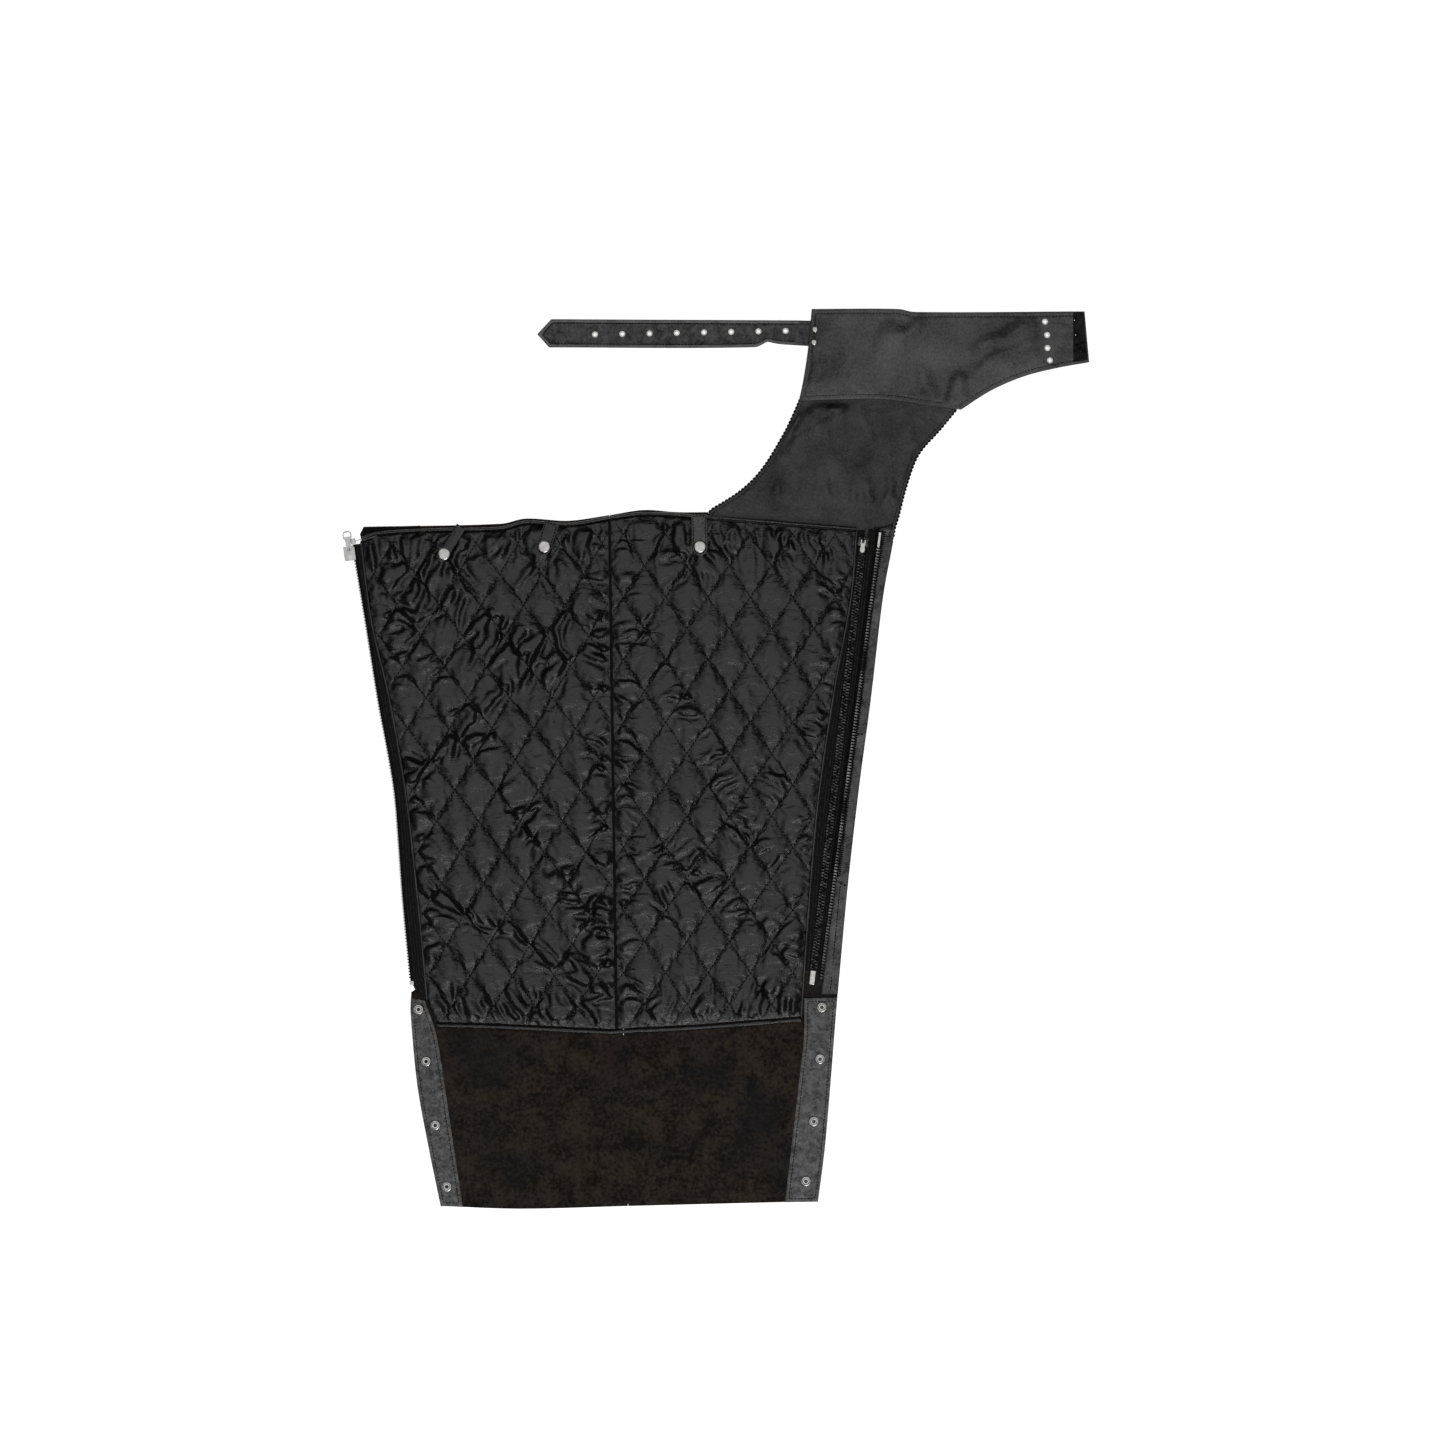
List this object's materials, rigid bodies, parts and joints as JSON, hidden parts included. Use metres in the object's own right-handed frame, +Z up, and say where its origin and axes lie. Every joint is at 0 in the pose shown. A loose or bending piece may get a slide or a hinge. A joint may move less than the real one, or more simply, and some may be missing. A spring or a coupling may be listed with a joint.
{
  "type": "riding chaps leg",
  "caption": "One leg of a pair of black leather riding chaps laid open: quilted zip-out lining, snap tabs, side zip, ankle flaps with press studs, waist yoke and belt strap.",
  "frame": {"origin": "on the surface that the leg lies on, at the middle of its outline", "axes": "+X to the right as seen from above with the lining up, +Y towards the waist, +Z up out of the lining"},
  "size_m": [0.8702, 1.0494, 0.012],
  "materials": {
    "grain_leather": "black grain leather, satin",
    "facing_leather": "pebbled charcoal leather",
    "suede_leather": "napped flesh side",
    "lining_satin": "quilted polyester satin",
    "zip_tape": "woven tape",
    "dark_metal": "gunmetal zip teeth",
    "nickel": "nickel plate"
  },
  "bodies": {
    "right_half": {"leg_shell_right": "grain_leather", "quilted_lining_right": "lining_satin", "lining_binding_right": "lining_satin", "lining_hem_right": "lining_satin", "edge_facing": "facing_leather", "snap_flap_right": "facing_leather", "press_stud_right_1": "nickel", "press_stud_right_2": "nickel", "press_stud_right_3": "nickel", "press_stud_right_4": "nickel", "side_zip_tape_right": "zip_tape", "side_zip_chain_right": "dark_metal", "side_zip_pin": "nickel", "liner_zip_tape": "zip_tape", "liner_zip_chain": "dark_metal", "liner_zip_box": "nickel", "snap_stud_3": "nickel"},
    "left_half": {"leg_shell_left": "grain_leather", "quilted_lining_left": "lining_satin", "lining_binding_left": "lining_satin", "lining_hem_left": "lining_satin", "snap_flap_left": "facing_leather", "press_stud_left_1": "nickel", "press_stud_left_2": "nickel", "press_stud_left_3": "nickel", "press_stud_left_4": "nickel", "side_zip_tape_left": "zip_tape", "side_zip_chain_left": "dark_metal", "side_zip_box": "nickel", "side_zip_stop": "nickel", "snap_stud_1": "nickel", "snap_stud_2": "nickel"},
    "waist": {"thigh_panel": "grain_leather", "waist_yoke": "grain_leather", "lacing_end_facing": "suede_leather", "lacing_eyelet_1": "nickel", "lacing_eyelet_2": "nickel", "lacing_eyelet_3": "nickel", "lacing_eyelet_4": "nickel", "strap_rivet_1": "nickel", "strap_rivet_2": "nickel"},
    "strap": {"belt_strap": "grain_leather", "strap_eyelet_1": "nickel", "strap_eyelet_2": "nickel", "strap_eyelet_3": "nickel", "strap_eyelet_4": "nickel", "strap_eyelet_5": "nickel", "strap_eyelet_6": "nickel", "strap_eyelet_7": "nickel", "strap_eyelet_8": "nickel"},
    "side_slider": {"side_zip_slider": "nickel"},
    "side_pull": {"side_zip_pull": "nickel"},
    "liner_slider": {"liner_zip_slider": "nickel"},
    "liner_pull": {"liner_zip_pull": "nickel"},
    "tab_1": {"snap_tab_1": "lining_satin", "snap_cap_1": "nickel"},
    "tab_2": {"snap_tab_2": "grain_leather", "snap_cap_2": "nickel"},
    "tab_3": {"snap_tab_3": "grain_leather", "snap_cap_3": "nickel"}
  },
  "joints": [
    {"name": "leg_fold", "type": "hinge", "parent": "right_half", "child": "left_half", "pos_m": [-0.1135, -0.117, 0.008], "axis": [-0.0269, 0.9996, 0], "range_deg": [0, 130]},
    {"name": "waist_fold", "type": "hinge", "parent": "right_half", "child": "waist", "pos_m": [0.10025, 0.2795, 0.008], "axis": [0.9965, -0.083, 0], "range_deg": [0, 85]},
    {"name": "strap_fold", "type": "hinge", "parent": "waist", "child": "strap", "pos_m": [0.1054, 0.495, 0.0035], "axis": [0, 1, 0], "range_deg": [0, 160]},
    {"name": "side_zip_slide", "type": "slide", "parent": "left_half", "child": "side_slider", "axis": [0.1331, -0.9911, 0], "range_m": [0, 0.48]},
    {"name": "side_pull_swing", "type": "hinge", "parent": "side_slider", "child": "side_pull", "pos_m": [-0.42742, 0.2438, 0.008], "axis": [0.9911, 0.1331, 0], "range_deg": [0, 150]},
    {"name": "liner_zip_slide", "type": "slide", "parent": "right_half", "child": "liner_slider", "axis": [-0.1155, -0.9933, 0], "range_m": [0, 0.482]},
    {"name": "liner_pull_swing", "type": "hinge", "parent": "liner_slider", "child": "liner_pull", "pos_m": [0.17168, 0.25453, 0.0082], "axis": [-0.9933, 0.1155, 0], "range_deg": [0, 150]},
    {"name": "snap_tab_1_fold", "type": "hinge", "parent": "left_half", "child": "tab_1", "pos_m": [-0.2965, 0.271, 0.0085], "axis": [-0.8483, 0.5295, 0], "range_deg": [0, 75]},
    {"name": "snap_tab_2_fold", "type": "hinge", "parent": "left_half", "child": "tab_2", "pos_m": [-0.191, 0.2755, 0.0085], "axis": [-0.9527, 0.304, 0], "range_deg": [0, 75]},
    {"name": "snap_tab_3_fold", "type": "hinge", "parent": "right_half", "child": "tab_3", "pos_m": [-0.0198, 0.285, 0.0085], "axis": [-0.9996, -0.0292, 0], "range_deg": [0, 75]}
  ]
}
